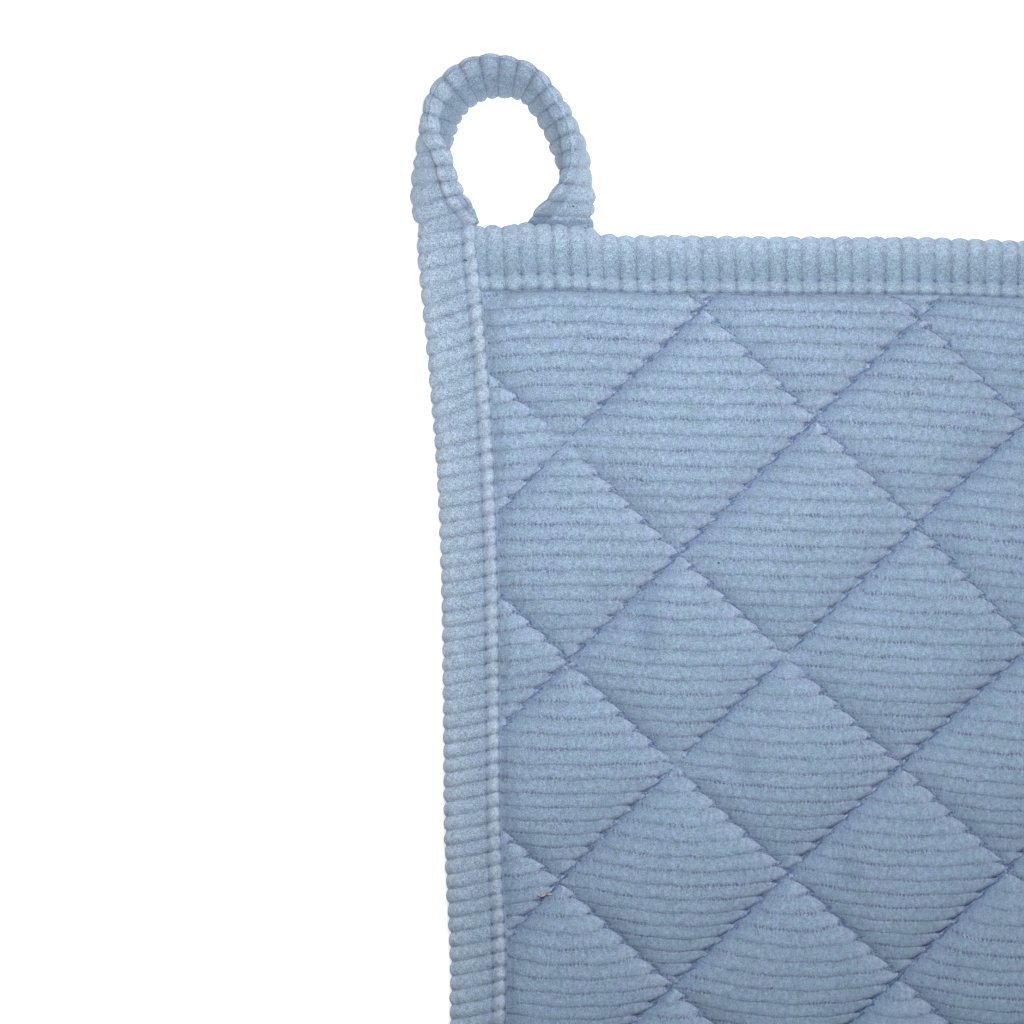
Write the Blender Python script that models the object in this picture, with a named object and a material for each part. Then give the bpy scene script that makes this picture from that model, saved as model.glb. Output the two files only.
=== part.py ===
"""A quilted corduroy pot holder, 200 mm square, with a hanging loop at its top left corner.

It lies face up on z = 0, X to the right and Y towards the top edge, with the origin under the middle of
the pad. Each piece is first laid out on a true square, the u, v plane, and lie() then draws the four
edges in as the washed cloth lies. Lengths are in millimetres until the meshes are made.
"""

import math
from typing import NamedTuple

import bmesh
import bpy
import numpy as np
from mathutils import Matrix, Vector

MM = 0.001
GAP = 0.4
WELD = 0.05

# The square and its binding.
HALF = 100.0
BINDING_WIDTH = 11.8
LIP = HALF - BINDING_WIDTH
BINDING_WALE = 3.3
BINDING_RIB = 0.34
WALE_SLANT = math.tan(math.radians(10.0))
SLANT_EASE = 14.0

# The pad: its rim, its quilting and its wales.
RIM_HALF = 97.0
RIM_LOW = 2.1
RIM_HIGH = 3.9
RIM_PARTS = 16
BORDER_STEP = 9.0
LONG_EDGE_CUTS = 2
SEAM_HEIGHT = 4.7
CROWN_HEIGHT = 7.8
SEAM_RISE = 4.2
LIP_RISE = 3.6
LIP_CUT = 1.6
PANEL_WALES = 58
PANEL_RIB = 0.34
SEAM_RIB = 0.4
BACK_GROOVE_DEPTH = 1.0
BACK_GROOVE_HALF = 2.2

# The end of the loop under the top binding, which it lifts.
FOOT_LEFT = -79.4
FOOT_RIGHT = -64.6
FOOT_RAMP = 6.0
FOOT_LIFT = 1.2
FOOT_ROOM = 2.2
FOOT_SPREAD = 12.0

# How far each edge is drawn in from the true square, at stations along that edge.
EDGE_STATIONS = (-100, -75, -50, -25, 0, 25, 50, 75, 100)
DRAWN_IN = {
    "left": (3.0, 5.4, 6.2, 5.1, 4.8, 4.5, 3.6, 1.7, -0.6),
    "top": (-0.6, -0.5, 1.6, 2.0, 2.1, 2.9, 3.0, 2.0, 0.6),
    "right": (1.5, 3.6, 4.4, 4.6, 4.9, 4.6, 4.0, 2.6, 0.6),
    "bottom": (2.4, 3.2, 3.9, 4.2, 4.1, 3.8, 3.2, 2.2, 1.2),
}

# The quilting lines. On a rising line u - v is held, and on a falling line u + v. A row gives that sum
# where the line passes nearest the middle, and how much it grows over 100 mm of the line.
RISING_LINES = (
    # sum, growth
    (-129.6, 1.0),
    (-85.1, 3.3),
    (-42.4, 2.9),
    (4.4, 8.0),
    (47.1, 4.0),
    (90.0, 2.0),
    (133.0, 0.0),
)
FALLING_LINES = (
    # sum, growth
    (-152.0, 4.0),
    (-107.9, 8.7),
    (-59.0, 6.5),
    (-13.5, 7.2),
    (38.9, -5.5),
    (83.1, 2.0),
    (127.0, 0.0),
)
# Where the front is cut between neighbouring lines so that it can swell, as shares of the way across.
DIAMOND_CUTS = (0.0, 0.15, 0.5, 0.85)

# The section of the folded strip, from its inner lower edge round the fold to its lip.
SECTION = (
    # across from the fold, height, rib across, rib up
    (11.8, 0.0, 0.0, -0.8),
    (1.4, 0.0, 0.0, -0.8),
    (0.0, 2.8, -0.7, 0.0),
    (2.5, 6.0, -0.2, 1.0),
    (8.9, 5.1, 0.0, 0.5),
    (10.3, 5.8, 0.0, 0.7),
    (11.8, 5.0, 0.0, 0.0),
)
SECTION_HEIGHT = 6.2

# The loop's middle line past the corner. At roll 0 the strip lies face up, at 90 it stands on its fold.
LOOP = (
    # x, y, roll, width, thickness
    (-94.3, 100.2, 0, 11.8, 6.2),
    (-95.3, 104.0, 14, 11.8, 5.6),
    (-96.6, 108.5, 48, 11.8, 5.0),
    (-97.3, 113.5, 76, 11.8, 4.8),
    (-97.1, 118.0, 90, 11.8, 4.8),
    (-95.8, 122.6, 100, 11.8, 4.7),
    (-92.8, 127.6, 110, 11.8, 4.6),
    (-88.0, 130.7, 116, 11.8, 4.6),
    (-82.9, 131.0, 116, 11.8, 4.6),
    (-78.4, 128.5, 108, 11.8, 4.7),
    (-75.0, 124.2, 96, 11.8, 4.8),
    (-72.3, 119.4, 86, 11.8, 4.8),
    (-70.2, 114.6, 70, 11.8, 4.8),
    (-69.6, 110.0, 44, 12.0, 4.6),
    (-70.6, 105.8, 14, 12.6, 3.8),
    (-71.9, 102.4, 0, 13.0, 2.2),
    (-72.2, 98.6, 0, 13.0, 1.8),
    (-72.2, 92.4, 0, 13.0, 1.8),
)
LOOP_START = 98.5
LOOP_EASE = 7.0
LOOP_READINGS = 40

# The finish: linear colours, and the angles below which faces are merged or shaded as one.
PANEL_BLUE = (0.330, 0.440, 0.560, 1.0)
BINDING_BLUE = (0.345, 0.455, 0.575, 1.0)
CLOTH_ROUGHNESS = 0.92
FLAT_ANGLE = math.radians(0.6)
SHARP_ANGLE = math.radians(24.0)


class Station(NamedTuple):
    """One section of a strip: its middle, the directions that it is laid out on, and what moves it."""

    middle: Vector
    across: Vector
    up: Vector
    along: Vector
    lift: float = 0.0
    room: float = 0.0
    back_rib: float = 0.0


def curve_through(values, place):
    """The smooth curve through evenly spaced values, read at a place counted in steps."""
    last = len(values) - 1
    place = min(max(place, 0.0), last)
    left = min(int(place), last - 1)
    share = place - left
    a = values[left]
    b = values[left + 1]
    slope_a = (b - values[max(left - 1, 0)]) / 2
    slope_b = (values[min(left + 2, last)] - a) / 2
    bend = 3 * (b - a) - 2 * slope_a - slope_b
    twist = 2 * (a - b) + slope_a + slope_b
    return a + share * (slope_a + share * (bend + share * twist))


def drawn_in(side, at):
    """How far one edge is drawn in at a place along it."""
    step = EDGE_STATIONS[1] - EDGE_STATIONS[0]
    return curve_through(DRAWN_IN[side], (at - EDGE_STATIONS[0]) / step)


def lie(u, v):
    """Where a point of the true square lies once the edges are drawn in."""
    right = (u + HALF) / (2 * HALF)
    top = (v + HALF) / (2 * HALF)
    x = u + drawn_in("left", v) * (1 - right) - drawn_in("right", v) * right
    y = v + drawn_in("bottom", u) * (1 - top) - drawn_in("top", u) * top
    return Vector((x, y, 0))


def ease(share):
    """A smooth step from 0 to 1."""
    share = min(max(share, 0.0), 1.0)
    return share * share * (3 - 2 * share)


def foot(u):
    """1 above the end of the loop and 0 away from it, along the top edge."""
    outside = max(FOOT_LEFT - u, u - FOOT_RIGHT, 0.0)
    return max(0.0, 1.0 - outside / FOOT_RAMP)


def lift(u, v):
    """How far the end of the loop lifts the cloth that lies on it."""
    return FOOT_LIFT * foot(u) * min(max(1.0 - (LIP - v) / FOOT_SPREAD, 0.0), 1.0)


def rib(wales):
    """A wale's height at a place counted in wales, from -1 in the groove to 1 on the crest."""
    return 1.0 - 4.0 * abs(wales % 1.0 - 0.5)


def diagonal(rising, line):
    """The unit normal and the distance from the middle of one diagonal."""
    total, growth = line
    lean = growth / 200
    normal = Vector((1 - lean, -1 - lean, 0)) if rising else Vector((1 - lean, 1 + lean, 0))
    return normal.normalized(), total / normal.length


def quilting():
    """The diagonals that the pad is sewn through along."""
    rising = [diagonal(True, line) for line in RISING_LINES]
    return rising + [diagonal(False, line) for line in FALLING_LINES]


def diamond_cuts():
    """The quilting lines and the cuts between them."""
    planes = []
    for rising, lines in ((True, RISING_LINES), (False, FALLING_LINES)):
        for one, other in zip(lines, lines[1:]):
            for share in DIAMOND_CUTS:
                between_them = [a + share * (b - a) for a, b in zip(one, other)]
                planes.append(diagonal(rising, between_them))
        planes.append(diagonal(rising, lines[-1]))
    return planes


def wale_cuts():
    """A cut along each crest and each groove of the panel."""
    half_wale = LIP / PANEL_WALES
    return [(Vector((0, 1, 0)), step * half_wale - LIP) for step in range(1, 2 * PANEL_WALES)]


def lip_cuts():
    """A cut close to the binding on each side, where the pad dips under its lip."""
    return [(Vector((1, 0, 0)), side * (LIP - LIP_CUT)) for side in (-1, 1)]


def back_cuts():
    """The furrows of the back: the bottom and both banks of each."""
    return [(normal, distance + bank)
            for normal, distance in quilting()
            for bank in (-BACK_GROOVE_HALF, 0, BACK_GROOVE_HALF)]


def foot_cuts():
    """The cuts where the lifted stretch of the top edge starts, levels out and ends."""
    places = (FOOT_LEFT - FOOT_RAMP, FOOT_LEFT, FOOT_RIGHT, FOOT_RIGHT + FOOT_RAMP)
    return [(Vector((1, 0, 0)), place) for place in places]


def seam_distances(point):
    """How far a point is from each quilting line."""
    return [abs(normal.x * point.x + normal.y * point.y - distance) for normal, distance in quilting()]


def front_height(point):
    """The front: pinched along the quilting and at the binding, full between, with wales all over."""
    inside = max(LIP - GAP - max(abs(point.x), abs(point.y)), 0.0)
    from_lip = 1 - math.exp(-inside / LIP_RISE)
    puff = math.prod(1 - math.exp(-away / SEAM_RISE) for away in seam_distances(point))
    swell = SEAM_HEIGHT - RIM_HIGH + (CROWN_HEIGHT - SEAM_HEIGHT) * puff
    across_wales = (point.y + LIP) / (2 * LIP) * PANEL_WALES
    wales = PANEL_RIB * (SEAM_RIB + (1 - SEAM_RIB) * puff) * rib(across_wales)
    return RIM_HIGH + (swell + wales) * from_lip + lift(point.x, point.y)


def back_height(point):
    """The back: flat on the table but for the furrows that the quilting pulls up."""
    return BACK_GROOVE_DEPTH * max(0.0, 1 - min(seam_distances(point)) / BACK_GROOVE_HALF)


def cut_faces(bm, faces, planes):
    """Cuts some of the faces along planes, each given by its normal and its distance from the middle."""
    for face in faces:
        face.material_index = 1
    for normal, distance in planes:
        part = [face for face in bm.faces if face.material_index]
        geom = {item for face in part for item in (face, *face.edges, *face.verts)}
        bmesh.ops.bisect_plane(
            bm, geom=list(geom), dist=WELD / 2, plane_co=normal * distance, plane_no=normal)
    for face in bm.faces:
        face.material_index = 0


def border_of(bm, level):
    """The open edges of the sheet at one level."""
    return [edge for edge in bm.edges if edge.is_boundary and abs(edge.verts[0].co.z - level) < WELD]


def square_sheet(bm, half, level, planes):
    """A flat square sheet at one level, cut along planes. Returns its border."""
    corners = bmesh.ops.create_grid(
        bm, x_segments=1, y_segments=1, size=half, matrix=Matrix.Translation((0, 0, level)))["verts"]
    cut_faces(bm, corners[0].link_faces[:], planes)
    at_level = [vert for vert in bm.verts if abs(vert.co.z - level) < WELD]
    bmesh.ops.remove_doubles(bm, verts=at_level, dist=WELD)
    long_edges = [edge for edge in border_of(bm, level) if edge.calc_length() > BORDER_STEP]
    bmesh.ops.subdivide_edges(bm, edges=long_edges, cuts=LONG_EDGE_CUTS)
    return border_of(bm, level)


def rim_ring(bm, inner, level):
    """The flat ring from a sheet's border out to the rim. Returns the rim's own border."""
    corners = bmesh.ops.create_circle(
        bm, segments=4, radius=RIM_HALF * math.sqrt(2),
        matrix=Matrix.Translation((0, 0, level)) @ Matrix.Rotation(math.pi / 4, 4, "Z"))["verts"]
    sides = [edge for edge in bm.edges if edge.verts[0] in corners and edge.verts[1] in corners]
    split = bmesh.ops.subdivide_edges(bm, edges=sides, cuts=RIM_PARTS - 1)["geom_split"]
    outer = [item for item in split if isinstance(item, bmesh.types.BMEdge)]
    bmesh.ops.triangle_fill(bm, use_beauty=True, edges=inner + outer, normal=(0, 0, 1))
    return outer


def finished(bm, name):
    """The object of a piece modelled in millimetres."""
    bmesh.ops.scale(bm, vec=(MM, MM, MM), verts=bm.verts)
    bmesh.ops.recalc_face_normals(bm, faces=bm.faces)
    mesh = bpy.data.meshes.new(name)
    bm.to_mesh(mesh)
    bm.free()
    mesh.shade_smooth()
    mesh.set_sharp_from_angle(angle=SHARP_ANGLE)
    return bpy.data.objects.new(name, mesh)


def dye(piece, colour):
    """Gives a piece its corduroy."""
    cloth = bpy.data.materials.new(piece.name)
    cloth.use_nodes = True
    shader = cloth.node_tree.nodes["Principled BSDF"]
    shader.inputs["Base Color"].default_value = colour
    shader.inputs["Roughness"].default_value = CLOTH_ROUGHNESS
    shader.inputs["Metallic"].default_value = 0.0
    piece.data.materials.append(cloth)


def quilted_pad():
    """The padded square with its flat rim."""
    bm = bmesh.new()
    front = square_sheet(bm, LIP, RIM_HIGH, wale_cuts() + diamond_cuts() + lip_cuts())
    high_rim = rim_ring(bm, front, RIM_HIGH)
    back = square_sheet(bm, LIP - GAP, 0.0, back_cuts())
    raised = bmesh.ops.extrude_edge_only(bm, edges=back)["geom"]
    raised_verts = [item for item in raised if isinstance(item, bmesh.types.BMVert)]
    bmesh.ops.translate(bm, vec=(0, 0, RIM_LOW), verts=raised_verts)
    step = [item for item in raised if isinstance(item, bmesh.types.BMEdge) and item.is_boundary]
    low_rim = rim_ring(bm, step, RIM_LOW)
    bmesh.ops.bridge_loops(bm, edges=high_rim + low_rim)
    cut_faces(bm, [face for face in bm.faces if face.calc_center_median().y > LIP], foot_cuts())
    bmesh.ops.triangulate(bm, faces=bm.faces, quad_method="SHORT_EDGE", ngon_method="BEAUTY")
    for vert in bm.verts:
        if vert.co.z == 0:
            height = back_height(vert.co)
        elif vert.co.z > RIM_LOW + GAP and max(abs(vert.co.x), abs(vert.co.y)) < LIP + WELD:
            height = front_height(vert.co)
        else:
            height = vert.co.z + lift(vert.co.x, vert.co.y)
        vert.co = lie(vert.co.x, vert.co.y)
        vert.co.z = height
    pad = finished(bm, "quilted_pad")
    dye(pad, PANEL_BLUE)
    return pad


def rim_space():
    """The room that the bindings leave for the pad's rim: a slab that is cut out of each strip."""
    bm = bmesh.new()
    bmesh.ops.create_grid(bm, x_segments=RIM_PARTS, y_segments=RIM_PARTS, size=RIM_HALF + GAP)
    cut_faces(bm, bm.faces[:], foot_cuts())
    top = bmesh.ops.extrude_face_region(bm, geom=bm.faces[:])["geom"]
    top_verts = [item for item in top if isinstance(item, bmesh.types.BMVert)]
    bmesh.ops.translate(bm, vec=(0, 0, RIM_HIGH - RIM_LOW + 2 * GAP), verts=top_verts)
    for vert in bm.verts:
        height = vert.co.z + RIM_LOW - GAP + (FOOT_LIFT * foot(vert.co.x) if vert.co.y > 0 else 0.0)
        vert.co = lie(vert.co.x, vert.co.y)
        vert.co.z = height
    slab = finished(bm, "rim_space")
    slab.hide_render = True
    slab.display_type = "WIRE"
    return slab


def bound_station(side, at):
    """A section of the strip on one edge of the square, at a place along that edge."""
    fold = {"left": (-HALF, at), "right": (HALF, at), "top": (at, HALF), "bottom": (at, -HALF)}[side]
    lip = {"left": (-LIP, at), "right": (LIP, at), "top": (at, LIP), "bottom": (at, -LIP)}[side]
    across = (lie(*lip) - lie(*fold)) / BINDING_WIDTH
    middle = (lie(*lip) + lie(*fold)) / 2 + Vector((0, 0, SECTION_HEIGHT / 2))
    slant = WALE_SLANT * ease((at + HALF) / SLANT_EASE) if side == "left" else 0.0
    raised = foot(at) if side == "top" else 0.0
    return Station(middle, across, Vector((0, 0, 1)), Vector((0, slant, 0)),
                   FOOT_LIFT * raised, FOOT_ROOM * raised)


def bound_stations(side, start, end):
    """Sections at each groove and crest of a strip along an edge."""
    steps = 2 * round((end - start) / BINDING_WALE)
    return [bound_station(side, float(at)) for at in np.linspace(start, end, steps + 1)]


def lowest(across, up):
    """The lowest point of a section about its middle."""
    return min(across.z * (out + rib_out * BINDING_RIB - BINDING_WIDTH / 2)
               + up.z * (height + rib_up * BINDING_RIB - SECTION_HEIGHT / 2)
               for out, height, rib_out, rib_up in SECTION)


def loop_stations():
    """Sections at each groove and crest of the loop, resting on the table on their lowest points."""
    last_bound = bound_station("left", LOOP_START).middle
    rows = [(last_bound.x, last_bound.y, 0, BINDING_WIDTH, SECTION_HEIGHT), *LOOP]
    places = np.linspace(0, len(LOOP), LOOP_READINGS * len(LOOP) + 1)
    columns = [[curve_through(column, place) for place in places] for column in zip(*rows)]
    travelled = np.concatenate([[0], np.cumsum(np.hypot(np.diff(columns[0]), np.diff(columns[1])))])
    steps = 2 * round(travelled[-1] / BINDING_WALE)
    stations = []
    for distance in np.linspace(0, travelled[-1], steps + 1)[1:]:
        x, y, roll, width, thickness = (
            float(np.interp(distance, travelled, column)) for column in columns)
        reach = np.clip((distance - 1, distance + 1), 0, travelled[-1])
        run, rise = (float(np.diff(np.interp(reach, travelled, column))[0]) for column in columns[:2])
        along = Vector((run, rise, 0)).normalized()
        turned = ease(distance / LOOP_EASE)
        level = Vector((1, 0, 0)).lerp(Vector((along.y, -along.x, 0)), turned).normalized()
        angle = math.radians(roll)
        across = (level * math.cos(angle) + Vector((0, 0, math.sin(angle)))) * width / BINDING_WIDTH
        up = across.cross(along).normalized() * thickness / SECTION_HEIGHT
        middle = Vector((x, y, -lowest(across, up)))
        slant = along * WALE_SLANT * (1 - turned)
        stations.append(Station(middle, across, up, slant, back_rib=turned))
    return stations


def lofted_strip(name, stations, room):
    """A folded strip through its sections, ribbed across, with the room for the pad's rim cut out."""
    bm = bmesh.new()
    count = len(SECTION)
    bmesh.ops.create_grid(bm, x_segments=len(stations) - 1, y_segments=count, size=0.5)
    for vert in bm.verts:
        index = round((vert.co.x + 0.5) * (len(stations) - 1))
        station = stations[index]
        out, height, rib_out, rib_up = SECTION[round((vert.co.y + 0.5) * count) % count]
        crest = BINDING_RIB * rib(index / 2)
        below = height == 0
        share = station.back_rib if below else 1.0
        out += crest * rib_out - BINDING_WIDTH / 2
        raised = station.room if below else station.lift
        height += crest * rib_up * share - SECTION_HEIGHT / 2
        vert.co = (station.middle + station.across * out + station.up * height
                   + station.along * out + Vector((0, 0, raised)))
    bmesh.ops.remove_doubles(bm, verts=bm.verts, dist=WELD)
    bmesh.ops.holes_fill(bm, edges=[edge for edge in bm.edges if edge.is_boundary], sides=0)
    strip = finished(bm, name)
    dye(strip, BINDING_BLUE)
    cut = strip.modifiers.new("room for the rim", "BOOLEAN")
    cut.operation = "DIFFERENCE"
    cut.solver = "EXACT"
    cut.object = room
    clean = strip.modifiers.new("flat faces whole", "DECIMATE")
    clean.decimate_type = "DISSOLVE"
    clean.angle_limit = FLAT_ANGLE
    return strip


def clear_scene():
    for item in list(bpy.data.objects):
        bpy.data.objects.remove(item, do_unlink=True)


def collection(name):
    made = bpy.data.collections.new(name)
    bpy.context.scene.collection.children.link(made)
    return made


clear_scene()
pot_holder = collection("pot_holder")
cutters = collection("cutters")
room = rim_space()
cutters.objects.link(room)
between = LIP - GAP
pieces = [
    quilted_pad(),
    lofted_strip("binding_top", bound_stations("top", -between, between), room),
    lofted_strip("binding_bottom", bound_stations("bottom", -between, between), room),
    lofted_strip("binding_right", bound_stations("right", -HALF, HALF), room),
    lofted_strip("binding_left_loop", bound_stations("left", -HALF, LOOP_START) + loop_stations(), room),
]
for piece in pieces:
    pot_holder.objects.link(piece)
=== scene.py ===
import math

import bmesh
import bpy
import numpy as np
from mathutils import Matrix, Vector


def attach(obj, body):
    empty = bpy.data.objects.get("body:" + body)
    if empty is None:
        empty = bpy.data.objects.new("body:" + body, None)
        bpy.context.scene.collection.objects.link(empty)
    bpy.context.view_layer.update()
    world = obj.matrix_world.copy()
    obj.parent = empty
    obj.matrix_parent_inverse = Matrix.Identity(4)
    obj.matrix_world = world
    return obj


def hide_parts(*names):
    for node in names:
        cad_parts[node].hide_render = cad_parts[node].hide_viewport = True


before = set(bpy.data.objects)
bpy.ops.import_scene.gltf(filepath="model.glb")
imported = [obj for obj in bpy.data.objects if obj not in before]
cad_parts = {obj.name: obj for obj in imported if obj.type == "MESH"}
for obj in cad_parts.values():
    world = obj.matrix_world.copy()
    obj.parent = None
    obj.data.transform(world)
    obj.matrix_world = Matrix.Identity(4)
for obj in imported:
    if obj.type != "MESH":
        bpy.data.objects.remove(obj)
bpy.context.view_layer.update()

# ---- The quilted pad ----------------------------------------------------------------------------------
# Two squares of wide-wale corduroy with a soft filling, sewn through along crossing diagonals and then
# trimmed. The wales run from side to side. The pad swells between the seams and is flat where it rests.

# Lengths are in millimetres on a true square, the u, v plane, which lie() draws in as the cloth lies.
MM = 0.001
HALF = 100.0
BAND_WIDTH = 11.8
LIP = HALF - BAND_WIDTH
RIM_HALF = 97.0
RIM_LOW = 2.1
RIM_HIGH = 3.9
SEAM_HEIGHT = 4.7
CROWN_HEIGHT = 7.8
SEAM_RISE = 4.2

# Beside the binding's lip: how far off the pad begins to rise, over what lengths it does so, the share
# of the slower rise, and how far the pad bulges up against the lip itself.
LIP_OFFSET = 0.4
LIP_STEP = 0.4
LIP_RISE = 2.2
LIP_SINK = 0.42
LIP_CREASE = 0.7
LIP_RAISE = 0.3
LIP_RAISE_REACH = 1.2
SHALLOW_AT_LIP = 0.6

# The furrows on the back, and the step down to the rim under the binding.
FURROW_DEPTH = 1.0
FURROW_HALF = 2.2
FURROW_POWER = 1.5
BACK_STEP = 1.2

# How far the edges are drawn in at places along them.
EDGE_STATIONS = (-100, -75, -50, -25, 0, 25, 50, 75, 100)
DRAWN_IN = {
    "left": (3.0, 5.4, 6.2, 5.1, 4.8, 4.5, 3.6, 1.7, -0.6),
    "top": (-0.6, -0.5, 1.6, 2.0, 2.1, 2.9, 3.0, 2.0, 0.6),
    "right": (1.5, 3.6, 4.4, 4.6, 4.9, 4.6, 4.0, 2.6, 0.6),
    "bottom": (2.4, 3.2, 3.9, 4.2, 4.1, 3.8, 3.2, 2.2, 1.2),
}

# On a rising seam u - v is held, and on a falling one u + v. A row gives that sum, and how much it grows
# over 100 mm of the seam.
RISING_SEAMS = (
    (-129.6, 1.0), (-85.1, 3.3), (-42.4, 2.9), (4.4, 8.0), (47.1, 4.0), (90.0, 2.0), (133.0, 0.0))
FALLING_SEAMS = (
    (-152.0, 4.0), (-107.4, 8.2), (-59.2, 6.5), (-13.1, 6.6), (39.3, -3.5), (84.4, 2.0), (127.0, 0.0))

# The end of the loop under the top edge, which it lifts, and how far into the pad that spreads.
FOOT_LEFT = -79.4
FOOT_RIGHT = -64.6
FOOT_RAMP = 6.0
FOOT_LIFT = 1.2
FOOT_ROOM = 2.2
FOOT_SPREAD = 12.0

# The wales, counted downwards from one near the middle. Each has a few rows of the mesh.
WALE_FIRST = -26
WALE_LAST = 37
WALE_ROWS = (0.0, 0.08, 0.26, 0.5, 0.74, 0.92)
WALE_RELIEF = (-0.11, -0.03, 0.03, 0.05, 0.03, -0.03)
WALE_CREST = 0.7
# The mesh along a wale, which is finer beside the seams.
PAD_COLUMNS = 205
FINE_PLACES = 776
SEAM_CROWDING = 2.4
CROWDING_REACH = 1.3
BACK_ROWS = (0.0, 0.14, 0.86)
BACK_COLUMNS = 88
BACK_RELIEF = (-0.12, 0.0, 0.0)

# Where the wales lie. They are closer together near the bottom, and bend down to the right in a slow
# curve that changes from wale to wale. Between the seams they sag.
WALE_MIDDLE = 12.6
WALE_PITCH = 3.035
WALE_CROWDING = 0.0046
BEND_MIDDLE = -40.0
BEND_HALF = 50.0
BEND_LEVELS = 20.0
BEND_EASE = 10.0
# The bend's factors: for any wale, and added for each wale counted.
BEND_SLOPE = (1.12, 0.065)
BEND_CURVE = (-0.88, 0.05)
BEND_TWIST = 0.32
SAG = (-1.30, -0.078)
SAG_WALES = (-16, 24)
SAG_REACH = 6.0
# The waver of a wale: its depth, its waves to a millimetre and its turn from wale to wale.
WAVERS = ((0.12, 0.55, 1.7), (0.05, 1.3, -2.3))

# Beside a rising seam (True) or a falling one (False): the step of a wale across it, the bulge of each
# wale's end over it, and how far that end is squared off.
SEAM_STEP = {True: 0.50, False: -0.37}
STEP_WIDTH = 0.3
STEP_REACH = 3
SETTLING_ROUNDS = 8
SEAM_SCALLOP = {True: 1.1, False: 1.5}
SCALLOP_MIDDLE = 0.6
SEAM_STAIR = {True: 0.2, False: -0.5}
# The crease along a seam, and how far it reaches under the wales that end and over those that emerge.
CREASE_DEPTH = 0.78
ENDING_REACH = 1.3
EMERGING_REACH = 0.7
EMERGING_FALLING = 0.55
# The wales stand out more where they end at a seam.
ENDING_RELIEF = 0.5
ENDING_RELIEF_REACH = 3

# The top binding is sewn on lower near the loop.
TOP_LIP_DIP = 1.85
TOP_LIP_LEVEL = -45.0
TOP_LIP_RUN = 37.0
CORNER_DROOP = 2.8
CORNER_START = -82.2
CORNER_RUN = 1.5
CORNER_PAD_SHARE = 0.6

# Small dents where the quilting gathers the cloth: u, v, half the length and the depth.
PUCKER_WIDTH = 2.3
PUCKERS = (
    (-57.4, 18.5, 7.0, 1.0), (-36.6, -9.2, 5.0, 0.8), (6.6, 39.0, 6.0, 0.55), (-15.8, -31.0, 4.5, 0.60),
    (6.0, -51.0, 4.5, 0.50), (34.0, 12.0, 6.0, 0.40), (58.0, -38.0, 5.0, 0.35), (47.0, 62.0, 5.0, 0.35),
    (-44.0, -66.0, 5.0, 0.35), (21.0, -74.0, 4.0, 0.30))
# Crossings where the pile covers the seams: u, v, the reach and the share.
BURIED = ((-74.0, 56.5, 6.5, 1.0), (-27.6, 13.1, 4.0, 0.6), (-50.7, -9.0, 4.0, 0.6))
SHALLOW_WHERE_BURIED = 0.6


def curve_through(values, place):
    """The smooth curve through evenly spaced values, read at places counted in steps."""
    values = np.asarray(values, float)
    last = len(values) - 1
    place = np.clip(place, 0.0, last)
    left = np.minimum(place.astype(int), last - 1)
    share = place - left
    a = values[left]
    b = values[left + 1]
    slope_a = (b - values[np.maximum(left - 1, 0)]) / 2
    slope_b = (values[np.minimum(left + 2, last)] - a) / 2
    bend = 3 * (b - a) - 2 * slope_a - slope_b
    twist = 2 * (a - b) + slope_a + slope_b
    return a + share * (slope_a + share * (bend + share * twist))


def drawn_in(side, at):
    """How far one edge is drawn in at places along it."""
    step = EDGE_STATIONS[1] - EDGE_STATIONS[0]
    return curve_through(DRAWN_IN[side], (np.asarray(at, float) - EDGE_STATIONS[0]) / step)


def lie(u, v):
    """Where points of the true square lie once the edges are drawn in."""
    right = (u + HALF) / (2 * HALF)
    top = (v + HALF) / (2 * HALF)
    x = u + drawn_in("left", v) * (1 - right) - drawn_in("right", v) * right
    y = v + drawn_in("bottom", u) * (1 - top) - drawn_in("top", u) * top
    return x, y


def ease(share):
    """A smooth step from 0 to 1."""
    share = np.clip(share, 0.0, 1.0)
    return share * share * (3 - 2 * share)


def foot(u):
    """1 above the end of the loop and 0 away from it, along the top edge."""
    outside = np.maximum(np.maximum(FOOT_LEFT - u, u - FOOT_RIGHT), 0.0)
    return ease(1.0 - outside / FOOT_RAMP)


def seams():
    """The unit normal, to the right, the distance from the middle and the kind of each seam."""
    for rising, rows in ((True, RISING_SEAMS), (False, FALLING_SEAMS)):
        for total, growth in rows:
            lean = growth / 200
            across = np.array((1 - lean, -1 - lean if rising else 1 + lean))
            length = np.linalg.norm(across)
            yield across / length, total / length, rising


def seam_distances(u, v):
    """How far points are to the right of each seam, with the seam's kind."""
    return [(normal[0] * u + normal[1] * v - distance, rising) for normal, distance, rising in seams()]


def puff(distances, rise):
    """0 on a seam, growing to 1 between the seams."""
    full = 1.0
    for away, _ in distances:
        full = full * (1 - np.exp(-np.abs(away) / rise))
    return full


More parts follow.
